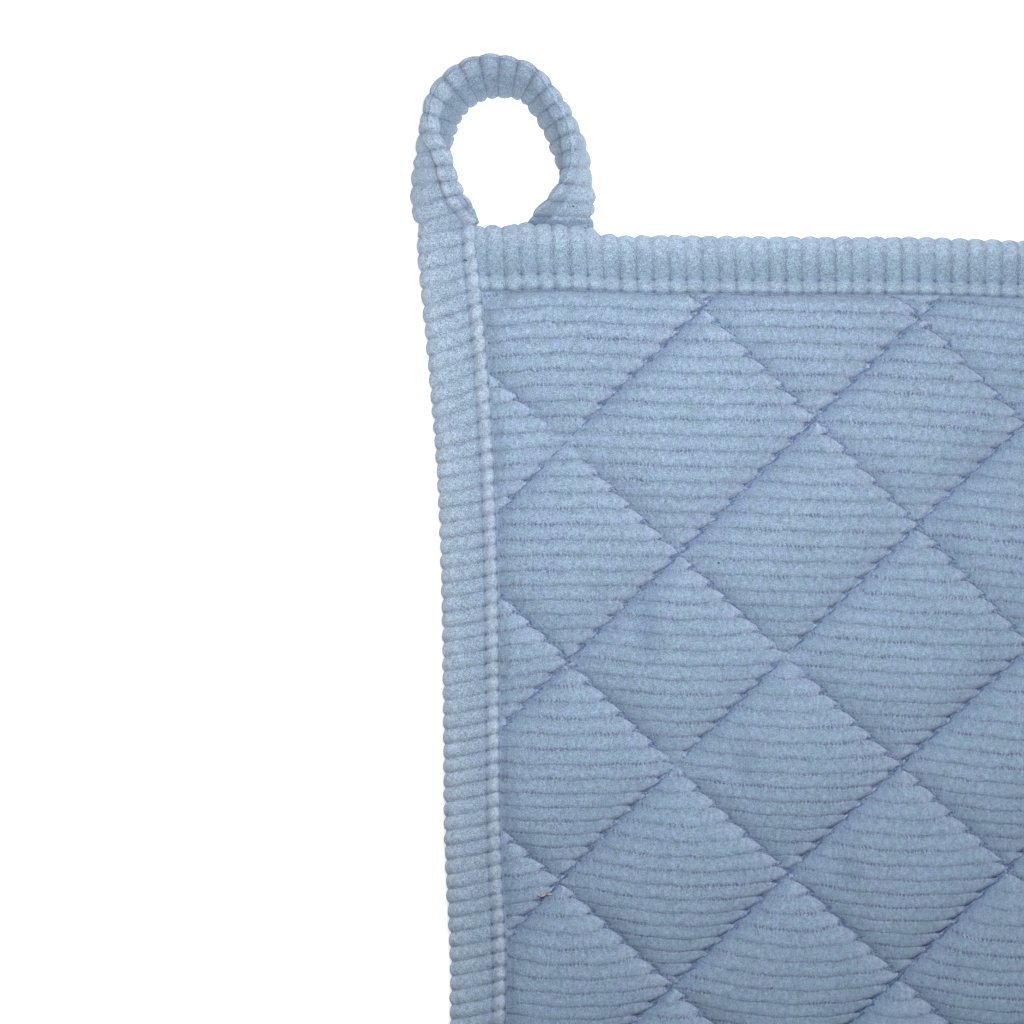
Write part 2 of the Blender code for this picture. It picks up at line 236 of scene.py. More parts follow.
def wale_lies(u, wale):
    """How far up the square a place on a wale lies. The seams pull the wales down, and step them."""
    past = np.maximum(u - BEND_LEVELS, 0)
    levelled = BEND_LEVELS + BEND_EASE * (1 - np.exp(-past / BEND_EASE))
    bend = (np.where(u < BEND_LEVELS, u, levelled) - BEND_MIDDLE) / BEND_HALF
    plain = WALE_MIDDLE - WALE_PITCH * wale + WALE_CROWDING * wale ** 2
    plain = plain - (BEND_SLOPE[0] + BEND_SLOPE[1] * wale) * bend
    plain = plain + (BEND_CURVE[0] + BEND_CURVE[1] * wale) * bend ** 2 + BEND_TWIST * bend ** 3
    for depth, waves, turn in WAVERS:
        plain = plain + depth * np.sin(waves * u + turn * wale)
    sag = SAG[0] + SAG[1] * np.clip(wale, *SAG_WALES)
    v = plain
    for _ in range(SETTLING_ROUNDS):
        distances = seam_distances(u, v)
        moved = plain + sag * puff(distances, SAG_REACH)
        for away, rising in distances:
            step = SEAM_STEP[rising] * away / np.hypot(away, STEP_WIDTH)
            moved = moved + step * np.exp(-np.abs(away) / STEP_REACH)
        v = (v + moved) / 2
    over = np.abs(v) - LIP
    rim = RIM_HALF - LIP
    return np.where(over > 0, np.sign(v) * (LIP + rim * (1 - np.exp(-np.maximum(over, 0) / rim))), v)


def crest_of(wale):
    """0 in the grooves and 1 along the crests of the wales."""
    return np.abs(np.sin(math.pi * wale)) ** WALE_CREST


def nearest_seam(u, v, wale):
    """The signed distance to the nearest seam, which goes round the wales' ends, and 1 on a falling one."""
    bulge = crest_of(wale) - SCALLOP_MIDDLE
    phase = wale % 1.0
    stair = np.where(phase > 0, phase - 0.5, 0.0)
    nearest = np.full(np.shape(u), 99.0)
    falling = np.zeros(np.shape(u))
    for away, rising in seam_distances(u, v):
        moved = away - SEAM_SCALLOP[rising] * bulge - SEAM_STAIR[rising] * stair
        closer = np.abs(moved) < np.abs(nearest)
        nearest = np.where(closer, moved, nearest)
        falling = np.where(closer, not rising, falling)
    return nearest, falling


def top_lip(u):
    """How far up the square the top binding is sewn on. It dips towards the loop."""
    return LIP - TOP_LIP_DIP * np.clip((TOP_LIP_LEVEL - u) / TOP_LIP_RUN, 0, 1)


def top_droop(u):
    """How much further its lip droops at the very corner, under the left binding."""
    return CORNER_DROOP * ease((CORNER_START - u) / CORNER_RUN)


def front_rows():
    """Each row across the front: its place in wales and its relief. The rims come first and last."""
    places = [(wale + phase, height) for wale in range(WALE_FIRST, WALE_LAST)
              for phase, height in zip(WALE_ROWS, WALE_RELIEF)]
    return np.array([(WALE_FIRST - 1, 0.0)] + places + [(WALE_LAST, 0.0)])


def spread_columns(wale):
    """The places along each row of the front, which are closer together beside the seams."""
    fine = np.linspace(-RIM_HALF, RIM_HALF, FINE_PLACES)[None, :]
    crowding = 1.0
    for away, _ in seam_distances(fine, wale_lies(fine, wale)):
        crowding = crowding + SEAM_CROWDING * np.exp(-(away / CROWDING_REACH) ** 2)
    counted = np.cumsum(crowding, axis=1)
    counted = (counted - counted[:, :1]) / (counted[:, -1:] - counted[:, :1])
    share = np.linspace(0, 1, PAD_COLUMNS + 1)
    return np.array([np.interp(share, row, fine[0]) for row in counted])


def front_of_pad():
    """The place of each point of the front, its cloth coordinates and its share of each shade."""
    rows = front_rows()
    u = spread_columns(rows[:, :1])
    wale = np.broadcast_to(rows[:, :1], u.shape)
    v = wale_lies(u, wale)
    v[0] = RIM_HALF
    v[-1] = -RIM_HALF
    full = puff(seam_distances(u, v), SEAM_RISE)
    near, falling = nearest_seam(u, v, wale)
    left = np.clip(-near, 0, None)
    right = np.clip(near, 0, None)
    buried = sum(share * np.exp(-((u - middle_u) ** 2 + (v - middle_v) ** 2) / reach ** 2)
                 for middle_u, middle_v, reach, share in BURIED)
    dents = sum(depth * np.exp(-((u - middle_u) / PUCKER_WIDTH) ** 2 - ((v - middle_v) / half) ** 2)
                for middle_u, middle_v, half, depth in PUCKERS)

    top = top_lip(u) - CORNER_PAD_SHARE * top_droop(u)
    past_lip = np.minimum(LIP - np.maximum(np.abs(u), -v), top - v)
    inside = np.clip(past_lip - LIP_OFFSET, 0, None)
    slow_rise = np.exp(-inside / LIP_RISE)
    from_lip = (1 - np.exp(-inside / LIP_STEP)) * (1 - LIP_SINK * slow_rise)
    at_lip = 1 - np.exp(-inside / LIP_CREASE)
    held_up = LIP_RAISE * np.exp(-(past_lip / LIP_RAISE_REACH) ** 2)

    ending = np.sqrt(np.clip(1 - (1 - np.clip(left / ENDING_REACH, 0, 1)) ** 2, 0, 1))
    emerging = 1 - (1 - EMERGING_FALLING * falling) * np.exp(-right / EMERGING_REACH)
    crease = np.where(near < 0, ending, emerging) - 1
    crease = crease * (1 - SHALLOW_AT_LIP * slow_rise) * (1 - SHALLOW_WHERE_BURIED * buried)
    standing_out = ENDING_RELIEF * np.exp(-(left / ENDING_RELIEF_REACH) ** 2) * (near < 0)
    relief = rows[:, 1:] * (1 + standing_out) * at_lip
    swell = SEAM_HEIGHT - RIM_HIGH + (CROWN_HEIGHT - SEAM_HEIGHT) * full + CREASE_DEPTH * crease - dents
    spread = np.clip(1 - (LIP - v) / FOOT_SPREAD, 0, 1)
    height = RIM_HIGH + swell * from_lip + relief + held_up + FOOT_LIFT * foot(u) * spread

    open_cloth = inside > 0
    covered = 0.4 * falling * crest_of(wale) + 1.2 * buried + 3 * (inside == 0)
    # Painted shade past each seam, where the cloth comes up out of the crease.
    shade_beside_seam = (0.8 * np.exp(-right / 2.8) + 0.7 * np.exp(-right / 0.8)) * (near >= 0) * open_cloth
    shades = {
        "seam": np.clip(near, -3, 3),
        "clear": np.clip(np.abs(near) + covered, 0, 3),
        "furrow": 0 * u,
        # A painted highlight on the wales' ends before each seam.
        "painted_highlight": np.exp(-((left - 0.8) / 1.5) ** 2) * (near < 0) * open_cloth * (1 - buried),
        # Painted shade past each seam and in the puckers.
        "crease_shade": shade_beside_seam * (1 - 0.6 * falling) * (1 - 0.7 * buried) + 0.8 * dents,
        # Painted shade in the crease along the lip.
        "edge": (1 - at_lip) * open_cloth,
        "painted_shade": 0 * u,
    }
    x, y = lie(u, v)
    return np.stack((x, y, height), axis=-1), np.stack((u, wale), axis=-1), shades


def back_of_pad():
    """The same for the back, which is flat on the table but for the furrows of the quilting."""
    count = WALE_LAST - WALE_FIRST + 1
    places = [(wale + phase, height) for wale in range(count)
              for phase, height in zip(BACK_ROWS, BACK_RELIEF)]
    rows = np.array(places + [(count, BACK_RELIEF[0])])
    columns = np.linspace(-RIM_HALF, RIM_HALF, BACK_COLUMNS + 1)
    u = np.broadcast_to(columns[None, :], (len(rows), len(columns)))
    wale = np.broadcast_to(rows[:, :1], u.shape)
    v = RIM_HALF - 2 * RIM_HALF * wale / count
    away = np.min([np.abs(one) for one, _ in seam_distances(u, v)], axis=0)
    over = np.maximum(np.abs(u), np.abs(v)) - (LIP - LIP_OFFSET)
    furrow = np.clip(1 - away / FURROW_HALF, 0, 1)
    resting = FURROW_DEPTH * furrow ** FURROW_POWER - rows[:, 1:] * (over < 0)
    height = np.where(over > 0, RIM_LOW * ease(over / BACK_STEP), resting)
    none = 0 * furrow
    # The furrows get painted shade.
    shades = {"seam": none + 3, "clear": none + 3, "furrow": furrow ** 3,
              "painted_highlight": none, "crease_shade": none, "edge": none, "painted_shade": none}
    x, y = lie(u, v)
    return np.stack((x, y, height), axis=-1), np.stack((u, wale), axis=-1), shades


def sheet_grid(bm, points, level):
    """A unit grid for a table of points, at one level of the bmesh."""
    rows, columns = points.shape[:2]
    made = bmesh.ops.create_grid(bm, x_segments=columns - 1, y_segments=rows - 1, size=0.5)["verts"]
    bmesh.ops.translate(bm, vec=(0, 0, level), verts=made)
    edges = {edge for vert in made for edge in vert.link_edges if edge.is_boundary}
    return list(edges)


def shaped(bm, name, sheets):
    """Moves each sheet's grid to its points, and gives the mesh its cloth coordinates and shades."""
    mesh = bpy.data.meshes.new(name)
    bm.to_mesh(mesh)
    bm.free()
    flat = np.empty(len(mesh.vertices) * 3)
    mesh.vertices.foreach_get("co", flat)
    flat = flat.reshape(-1, 3)
    level = np.round(flat[:, 2]).astype(int)
    places = np.zeros((len(flat), 3))
    cloth = np.zeros((len(flat), 2))
    shades = {shade: np.zeros(len(flat)) for shade in sheets[0][2]}
    for index, (points, coordinates, shade_tables) in enumerate(sheets):
        rows, columns = points.shape[:2]
        own = level == index
        column = np.round((flat[own, 0] + 0.5) * (columns - 1)).astype(int)
        row = np.round((0.5 - flat[own, 1]) * (rows - 1)).astype(int)
        places[own] = points[row, column]
        cloth[own] = coordinates[row, column]
        for shade, table in shade_tables.items():
            shades[shade][own] = table[row, column]
    mesh.vertices.foreach_set("co", (places * MM).ravel())
    corners = np.empty(len(mesh.loops), int)
    mesh.loops.foreach_get("vertex_index", corners)
    mesh.uv_layers.new(name="cloth").data.foreach_set("uv", cloth[corners].ravel())
    for shade, values in shades.items():
        mesh.attributes.new(shade, "FLOAT", "POINT").data.foreach_set("value", values)
    mesh.shade_smooth()
    mesh.update()
    piece = bpy.data.objects.new(name, mesh)
    bpy.context.scene.collection.objects.link(piece)
    return piece


front = front_of_pad()
back = back_of_pad()
bm = bmesh.new()
front_edge = sheet_grid(bm, front[0], 0)
back_edge = sheet_grid(bm, back[0], 1)
bmesh.ops.bridge_loops(bm, edges=front_edge + back_edge)
bmesh.ops.recalc_face_normals(bm, faces=bm.faces)
for face in bm.faces:
    face.normal_flip()
pad = shaped(bm, "quilted_pad_cloth", (front, back))


class Shade:
    """A socket among a material's nodes. Python's operators on it add Math nodes."""

    def __init__(self, tree, socket=None):
        self.tree = tree
        self.socket = socket

    def node(self, kind, settings=None, sockets=None, output=0):
        """Adds a node with its settings, then its sockets' values or links, and wraps one output."""
        made = self.tree.nodes.new(kind)
        for key, value in (settings or {}).items():
            setattr(made, key, value)
        for key, value in (sockets or {}).items():
            if isinstance(value, Shade):
                self.tree.links.new(value.socket, made.inputs[key])
            else:
                made.inputs[key].default_value = value
        return Shade(self.tree, made.outputs[output])

    def maths(self, operation, *others):
        """One Math node on this number and the others."""
        return self.node("ShaderNodeMath", {"operation": operation}, dict(enumerate((self, *others))))

    def __add__(self, other):
        return self.maths("ADD", other)

    def __sub__(self, other):
        return self.maths("SUBTRACT", other)

    def __rsub__(self, other):
        return self.node("ShaderNodeMath", {"operation": "SUBTRACT"}, {0: other, 1: self})

    def __mul__(self, other):
        return self.maths("MULTIPLY", other)

    def __truediv__(self, other):
        return self.maths("DIVIDE", other)

    __radd__ = __add__
    __rmul__ = __mul__

    def between(self, low, high):
        """0 below low and 1 above high, with a smooth step between them."""
        return self.node("ShaderNodeMapRange", {"interpolation_type": "SMOOTHSTEP"},
                         {"Value": self, "From Min": low, "From Max": high})

    def towards(self, colour, share):
        """This colour mixed with another one."""
        return self.node("ShaderNodeMix", {"data_type": "RGBA"}, {0: share, 6: self, 7: colour}, 2)

    def vector(self, y, z):
        """The vector of this number and two others."""
        return self.node("ShaderNodeCombineXYZ", {}, {0: self, 1: y, 2: z})

    def scaled(self, factor):
        """This colour or vector times a number."""
        return self.node("ShaderNodeVectorMath", {"operation": "SCALE"}, {0: self, "Scale": factor})

    def noise(self, scale, detail=2.0, roughness=0.5):
        """A cloud of 0 to 1 over this vector."""
        return self.node("ShaderNodeTexNoise", {}, {
            "Vector": self, "Scale": scale, "Detail": detail, "Roughness": roughness})


def linear(red, green, blue):
    """A linear colour from its screen values of 0 to 255."""
    return tuple((((value / 255) + 0.055) / 1.055) ** 2.4 for value in (red, green, blue)) + (1.0,)


def corduroy(name, pile, deep, pale, tick_reach, groove_line, ruffled, rounded, leaning):
    """Cotton corduroy. The cloth coordinates give millimetres along the wales, and a count of wales.

    pile has its two main colours, deep its darker colour, for darker fibres and for painted shade, and pale
    its paler colour, for paler fibres and the ground's rungs and for painted highlights. tick_reach is how
    far the ground's threads reach from a groove, groove_line how dark the groove is, its darker ground with
    painted shade, ruffled how uneven the pile is, and rounded and leaning the painted light across a wale.
    """
    material = bpy.data.materials.new(name)
    material.use_nodes = True
    tree = material.node_tree
    start = Shade(tree)
    place = start.node("ShaderNodeTexCoord", output="Object").scaled(1 / MM)
    cloth = start.node("ShaderNodeUVMap", {"uv_map": "cloth"})
    parts = start.node("ShaderNodeSeparateXYZ", sockets={0: cloth})
    along = parts
    wale = Shade(tree, parts.socket.node.outputs[1])
    seam, clear, furrow, painted_highlight, crease_shade, edge, painted_shade = (
        start.node("ShaderNodeAttribute", {"attribute_name": shade}, output="Fac")
        for shade in ("seam", "clear", "furrow", "painted_highlight", "crease_shade", "edge", "painted_shade"))

    wander = place.noise(0.9, 2.0)
    uneven = wale + (wander - 0.5) * 0.18
    phase = uneven.maths("FRACT")
    from_groove = 0.5 - (phase - 0.5).maths("ABSOLUTE")
    groove_number = (uneven + 0.5).maths("FLOOR")
    groove = (1.0 - from_groove.between(0.01, 0.11)) * place.noise(0.55, 1.0).between(0.2, 0.6)

    # The ground between the wales: dark ticks like a ladder's rungs, and here and there a pale thread.
    ladder_share = (along / 9.0).vector(groove_number * 5.3, 0.0).noise(1.0, 1.0).between(0.45, 0.62)
    dash = ((along / 0.85 + wander * 2.2).maths("FRACT") - 0.5).maths("ABSOLUTE").between(0.2, 0.36)
    beside_groove = 1.0 - from_groove.between(tick_reach * 0.5, tick_reach)
    ladder = beside_groove * dash * ladder_share
    rung = beside_groove * (1.0 - dash) * ladder_share
    thread_share = (along / 14.0).vector(groove_number * 3.7, 9.0).noise(1.0, 0.0).between(0.76, 0.80)
    thread = (1.0 - from_groove.between(0.03, 0.06)) * (1.0 - dash) * thread_share

    # The pile: fine fibres, tufts, the marks of the comb and wide clouds.
    comb = (along * 1.5).vector(wale * 1.6, 0.0).noise(1.0, 2.0)
    fleece = place.noise(4.2, 3.0, 0.9)
    tint = place.noise(1.9, 2.0, 0.7)
    tufts = place.noise(1.1, 2.0, 0.6)
    clouds = place.noise(0.11, 2.0)

    # Towards the bottom right, away from the light, the grain is smoother and the painted light across the
    # wales weaker.
    rightwards = start.node("ShaderNodeSeparateXYZ", sockets={0: place})
    upwards = Shade(tree, rightwards.socket.node.outputs[1])
    toward_bottom_right = (rightwards - upwards).between(-170.0, 90.0)
    crisp = (1.0 - toward_bottom_right * 0.45) * ruffled
    on_pile = (fleece - 0.5) * crisp * 2.4 + (tufts - 0.5) * 0.34
    on_pile = on_pile + (comb - 0.5) * 0.5 + (clouds - 0.5) * 0.16
    # Painted light across each wale. The multiplier light adds it to the grain's own brightness.
    on_wale = (from_groove.between(0.0, 0.5) - 0.5) * rounded + (phase - 0.5) * leaning
    light = 1.0 + on_pile + on_wale * (1.2 - toward_bottom_right * 0.5)
    colour = clouds.node("ShaderNodeMix", {"data_type": "RGBA"}, {
        0: tufts.between(0.3, 0.7), 6: linear(*pile[0]), 7: linear(*pile[1])}, 2)
    colour = colour.towards(linear(176, 190, 190), tint.between(0.50, 0.75) * 0.35)
    hue = place.noise(0.32, 2.0)
    colour = colour.towards(linear(158, 168, 208), hue.between(0.5, 0.66) * 0.28)
    colour = colour.towards(linear(146, 176, 188), (1.0 - hue).between(0.5, 0.66) * 0.25)
    pale_and_highlight = linear(*pale)
    deep_and_shade = linear(*deep)
    colour = colour.towards(pale_and_highlight, fleece.between(0.55, 0.70) * crisp * 0.5)
    colour = colour.towards(deep_and_shade, (1.0 - fleece).between(0.55, 0.70) * crisp * 0.5)
    colour = colour.towards(pale_and_highlight, rung * 0.35)
    # The grooves are darker: their darker ground with painted shade, more of it where painted shade lies.
    # Painted shade also goes along the lip and in the foot's gap.
    colour = colour.towards(deep_and_shade, groove * (0.45 + dash * 0.35) * (groove_line + painted_shade * 0.6)
                            + edge * wander.between(0.3, 0.6) * 0.25)
    colour = colour.towards(linear(84, 110, 158), ladder * tint.between(0.3, 0.55) * 0.5)
    # Painted shade beside the seams, in the puckers, and along the binding's stitches, its lip and where
    # its lips meet.
    colour = colour.towards(deep_and_shade, crease_shade * tufts.between(0.1, 0.6) * 0.4)
    # A painted highlight on the wales' ends before a seam, on the binding's ridge and on its fold.
    colour = colour.towards(pale_and_highlight, painted_highlight * (tufts.between(0.3, 0.6) * 0.22 + 0.13))

    # The quilting's line: painted shade in the seam's crease, with the thread sunk in it, which the pile at
    # the wales' ends breaks up. The same painted shade goes into the back's furrows, the binding's stitch
    # holes and lip, and the gap at the foot.
    frayed = (seam + (tint - 0.5) * 1.8 + (wander - 0.5) * 1.6) / (tufts + 0.5)
    sewn = (1.0 - frayed.maths("ABSOLUTE").between(0.05, 0.36)) * (1.0 - clear.between(0.5, 0.9))
    colour = colour.towards(linear(60, 78, 128), (sewn * 0.85 + furrow) * tufts.between(0.25, 0.5) * 0.8)
    # Painted shade on the loop's inner face and on parts of the binding, then the grain and the painted
    # light across the wales.
    colour = colour.towards(linear(96, 126, 156), painted_shade * 0.35).scaled(light * (1.0 - painted_shade * 0.17))
    colour = colour.towards(linear(206, 216, 226), thread * 0.45)

    height = fleece * 0.30 + tufts * 0.16 + comb * 0.12 - ladder * 0.12 - groove * 0.10
    shader = tree.nodes["Principled BSDF"]
    bump = start.node("ShaderNodeBump", {}, {"Height": height, "Strength": 0.9, "Distance": 0.6 * MM})
    tree.links.new(colour.socket, shader.inputs["Base Color"])
    tree.links.new(bump.socket, shader.inputs["Normal"])
    shader.inputs["Roughness"].default_value = 0.95
    shader.inputs["Specular IOR Level"].default_value = 0.15
    shader.inputs["Sheen Weight"].default_value = 0.75
    shader.inputs["Sheen Roughness"].default_value = 0.45
    shader.inputs["Sheen Tint"].default_value = linear(214, 224, 238)
    return material


pad.data.materials.append(corduroy(
    "panel_corduroy", pile=((146, 170, 197), (156, 180, 205)), deep=(88, 108, 152), pale=(188, 198, 224),
    tick_reach=0.17, groove_line=0.55, ruffled=1.1, rounded=0.13, leaning=0.10))
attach(pad, "root")
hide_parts("quilted_pad")

# ---- The binding --------------------------------------------------------------------------------------
# Strips of the same corduroy cut across the wales, folded round the pad's rim with both raw edges turned
# under, and sewn through just inside the lip. The stitching raises a narrow ridge along the lip.

BAND_THICK = 0.8
BAND_PITCH = 3.3
BAND_ROWS = (0.0, 0.08, 0.2, 0.35, 0.5, 0.65, 0.8, 0.92)
# The relief of its wales, more in the loop, the level that it is counted from, and its unevenness.
BAND_RELIEF = 0.55
BAND_LOOP_RELIEF = 0.3
BAND_MIDDLE = 0.55
BAND_CREST = 2.4
BAND_TOUSLE = 0.11
BAND_HEIGHT = 6.2
END_ROUND = 2.4
END_NARROW = 0.25
SLANT_BOW = 0.035
# The strip's section, from the turned-under edge of the back round the fold to that of the front.
BAND_SECTION = (
    # across from the fold, height, share of the relief
    (9.6, 0.95, 0.0), (11.1, 0.85, 0.0), (11.7, 0.5, 0.3), (11.4, 0.1, 0.4), (10.6, 0.0, 0.4),
    (9.6, 0.0, 0.4), (8.9, 0.0, 0.4), (8.0, 0.0, 0.4), (6.0, 0.0, 0.4), (2.8, 0.0, 0.5),
    (1.0, 0.45, 0.9), (0.2, 1.6, 1.0), (0.0, 3.0, 1.0), (0.35, 4.4, 1.0), (1.3, 5.45, 1.0),
    (2.8, 5.95, 0.8), (4.6, 5.7, 0.55), (6.6, 5.15, 0.55), (8.3, 4.6, 0.5), (8.9, 4.35, 0.5),
    (9.3, 4.95, 0.8), (10.2, 5.55, 1.0), (11.1, 5.4, 1.0), (11.5, 4.75, 0.6), (11.8, 4.5, 0.3),
    (11.6, 4.2, 0.0), (9.4, 4.1, 0.0))
# The same where the strip has nothing in it: the fold stands open, and the two lips are sewn to each other.
LOOP_SECTION = (
    (11.95, 3.1, 0.7), (11.95, 2.6, 0.7), (11.75, 1.7, 0.8), (11.2, 1.0, 0.8), (10.3, 0.7, 0.8),
    (9.3, 1.0, 0.6), (8.6, 1.5, 0.4), (7.9, 0.9, 0.8), (6.2, -0.6, 1.0), (3.2, -1.6, 1.0),
    (1.2, -0.9, 1.0), (0.3, 0.9, 1.0), (0.0, 3.1, 1.0), (0.3, 5.3, 1.0), (1.2, 7.1, 1.0),
    (3.0, 7.8, 1.0), (5.0, 7.2, 1.0), (6.9, 5.9, 1.0), (8.0, 5.1, 0.8), (8.6, 4.6, 0.4),
    (9.3, 5.1, 0.6), (10.3, 5.4, 0.8), (11.2, 5.1, 0.8), (11.75, 4.4, 0.8), (11.92, 3.7, 0.7),
    (11.95, 3.3, 0.7), (11.95, 3.1, 0.7))
# Places along the section, counted in its points: where it is read more finely, the fold, the side of the
# fold with a painted highlight, where the front lies flat, the two rows of stitches, the ridge and the lip.
FIRST_FINE = 9
FOLD_PLACE = 11
FOLD_HIGHLIGHT_PLACE = 14.2
FLAT_PLACE = 14.5
STITCH_PLACES = (6, 19)
RIDGE_PLACES = (19, 22.4)
LIP_PLACE = 23.0
# How far the top strip's fold is drawn in beside the loop's foot, and inside the loop.
BESIDE_FOOT = 1.0
IN_LOOP = 0.5
# The heights between which the loop's foot lifts the front of the strip and not its back.
UPPER_FROM = 1.5
UPPER_RUN = 2.5


def band_section(section):
    """The section's points, read once between the back's points and twice between the others."""
    last = len(section) - 1
    places = np.concatenate((np.arange(FIRST_FINE), np.arange(FIRST_FINE, last + 0.25, 0.5)))
    return places, *(curve_through(column, places) for column in zip(*section))


def wale_steps(start, end, pitch):
    """Places along a strip at each row of each wale, and their counts of wales. pitch is read along it."""
    fine = np.linspace(start, end, 2001)
    counted = np.concatenate([[0], np.cumsum(np.diff(fine) / pitch((fine[1:] + fine[:-1]) / 2))])
    whole = round(counted[-1])
    counted *= whole / counted[-1]
    counts = np.array([wale + phase for wale in range(whole) for phase in BAND_ROWS] + [whole])
    return np.interp(counts, counted, fine), counts


def even_pitch(at):
    """The same pitch all along a strip."""
    return np.full(np.shape(at), BAND_PITCH)


def along_edge(side, at):
    """The middles and directions of a strip's sections along one edge of the square."""
    edge = np.full(np.shape(at), HALF if side in ("right", "top") else -HALF)
    inner = top_lip(at) if side == "top" else edge * LIP / HALF
    fold = np.stack(lie(edge, at) if side in ("left", "right") else lie(at, edge), axis=-1)
    if side == "top":
        beside = ease((at - FOOT_RIGHT + 0.6) / 1.8) * (1 - ease((at - FOOT_RIGHT - 2) / 16))
        fold[:, 1] -= IN_LOOP * ease((FOOT_LEFT - 0.5 - at) / 2)
        fold[:, 1] -= BESIDE_FOOT * beside
    lip = np.stack(lie(inner, at) if side in ("left", "right") else lie(at, inner), axis=-1)
    level = np.zeros(len(at))
    middle = np.column_stack(((lip + fold) / 2, level + BAND_HEIGHT / 2))
    across = np.column_stack(((lip - fold) / BAND_WIDTH, level))
    up = np.tile((0.0, 0.0, 1.0), (len(at), 1))
    return middle, across, up


def tousled(along, across):
    """A soft unevenness of -1 to 1, from a few waves that cross."""
    return (np.sin(along + 1.3 * np.sin(0.37 * along + 2 * across)) * np.cos(1.7 * across + 0.61 * along)
            + np.sin(2.3 * across - 0.83 * along + 1.1)) / 2


def near_place(places, place, reach):
    """1 at a place along the section, falling to 0 over its reach."""
    return np.exp(-((places - place) / reach) ** 2)


def section_of_strip(turned):
    """The section's points where a strip has left the pad (turned is 1), and where it is on it (0)."""
    places, *flat = band_section(BAND_SECTION)
    _, *open_fold = band_section(LOOP_SECTION)
    turned = np.reshape(turned, (-1, 1))
    return places, *(one + (other - one) * turned for one, other in zip(flat, open_fold))


def lofted(name, middle, across, up, slant, counts, raised, turned, ends,
           front_shade, ridge_highlight, ridge_shade=0.0, gap=0.0):
    """A thin folded strip through its sections, ribbed by its wales, as a sheet with its thickness.

    A section has its middle, its directions across and up, how far it slants along the strip, its count of
    wales, and how far it is raised, turned into the loop and kept open at the strip's ends. The rest are
    shares of painted light: shade on the front's flat part, a highlight on the ridge, shade on the loop's
    far ridge and a shadow in the gap at the foot.
    """
    places, out, height, ribs = section_of_strip(turned)
    turned = turned[:, None]
    run = np.gradient(out, axis=1)
    rise = np.gradient(height, axis=1)
    length = np.hypot(run, rise)
    crest = 1 - np.abs(2 * (counts % 1.0) - 1) ** BAND_CREST
    relief = (BAND_RELIEF * (1 + BAND_LOOP_RELIEF * turned)) * (crest[:, None] - BAND_MIDDLE) * ribs
    relief = relief + BAND_TOUSLE * ribs * tousled(4.3 * counts[:, None], 0.9 * places)
    ridge = (places > RIDGE_PLACES[0]) * (places <= RIDGE_PLACES[1]) + turned * (places < STITCH_PLACES[0])
    out = out - relief * rise / length
    height = height + relief * run / length
    round_off = ends[:, None]
    out = (out - BAND_WIDTH / 2) * (1 - END_NARROW + END_NARROW * round_off)
    height = (height - BAND_HEIGHT / 2) * round_off
    upper = ease((height + BAND_HEIGHT / 2 - UPPER_FROM) / UPPER_RUN)
    lift = raised[:, None] * (FOOT_ROOM + (FOOT_LIFT - FOOT_ROOM) * upper)
    points = (middle[:, None] + across[:, None] * out[..., None] + up[:, None] * height[..., None]
              + slant[:, None] * (out[..., None] + SLANT_BOW * np.clip(out, 0, None)[..., None] ** 2))
    points[..., 2] = np.maximum(points[..., 2] + lift, 0)
    travelled = np.cumsum(np.concatenate((np.zeros((len(out), 1)), np.hypot(
        np.diff(out, axis=1), np.diff(height, axis=1))), axis=1), axis=1)
    cloth = np.stack((travelled, np.broadcast_to(counts[:, None], out.shape)), axis=-1)
    stitch = np.broadcast_to(sum(near_place(places, place, 0.5) for place in STITCH_PLACES), out.shape)
    at_lip = np.broadcast_to(near_place(places, LIP_PLACE, 0.6), out.shape)
    # A painted highlight along the outer side of the fold.
    pale_and_highlight = 1.5 * (1 - turned) * near_place(places, FOLD_HIGHLIGHT_PLACE, 1.2)
    meeting = near_place(np.minimum(places, places[-1] - places), 0, 0.8)
    # Where painted shade goes: the loop's inner face, and the front's flat part towards its stitches.
    inner_face = turned * ease((FOLD_PLACE - places) / 2) * (places > STITCH_PLACES[0])
    flat_front = (1 - turned) * ease((places - FLAT_PLACE) / 4) * (places < STITCH_PLACES[1] + 0.6)
    ridge_highlight, ridge_shade, gap = (np.reshape(share, (-1, 1)) for share in (ridge_highlight, ridge_shade, gap))
    between = (1 - crest[:, None]) ** 1.6
    shades = {
        "seam": 0 * out + 3,
        "clear": 0 * out + 3,
        # Painted shade in the stitch holes at the grooves, along the lip and the loop's ridges, and a
        # painted shadow in the gap at the foot.
        "furrow": (0.9 * stitch + 0.9 * at_lip + 0.5 * ridge * turned) * between + 0.6 * gap,
        # A painted highlight on the ridge and on the outer side of the fold.
        "painted_highlight": ridge * ridge_highlight + pale_and_highlight,
        # Painted shade along the stitches, under the lip and where the loop's two lips meet.
        "crease_shade": 0.5 * stitch + 0.8 * at_lip * (1 - turned) + 0.5 * turned * meeting,
        # Painted shade under the lip, and a painted shadow in the gap at the foot.
        "edge": at_lip * (1 - turned) + gap,
        # Painted shade on the loop's inner face, on the front's flat part and along the loop's far ridge.
        "painted_shade": inner_face + front_shade * flat_front + ridge_shade * ridge,
    }
    bm = bmesh.new()
    sheet_grid(bm, points, 0)
    strip = shaped(bm, name, ((points, cloth, shades),))
    if np.dot(np.cross(across[0], middle[1] - middle[0]), up[0]) > 0:
        bm = bmesh.new()
        bm.from_mesh(strip.data)
        bmesh.ops.reverse_faces(bm, faces=bm.faces)
        bm.to_mesh(strip.data)
        bm.free()
    thick = strip.modifiers.new("cloth", "SOLIDIFY")
    thick.thickness = BAND_THICK * MM
    thick.offset = -1.0
    return strip, points


def rounded_ends(at, start, end):
    """1 along a strip, falling to 0 at its two ends."""
    away = np.clip(np.minimum(at - start, end - at) / END_ROUND, 0, 1)
    return np.sqrt(1 - (1 - away) ** 2)


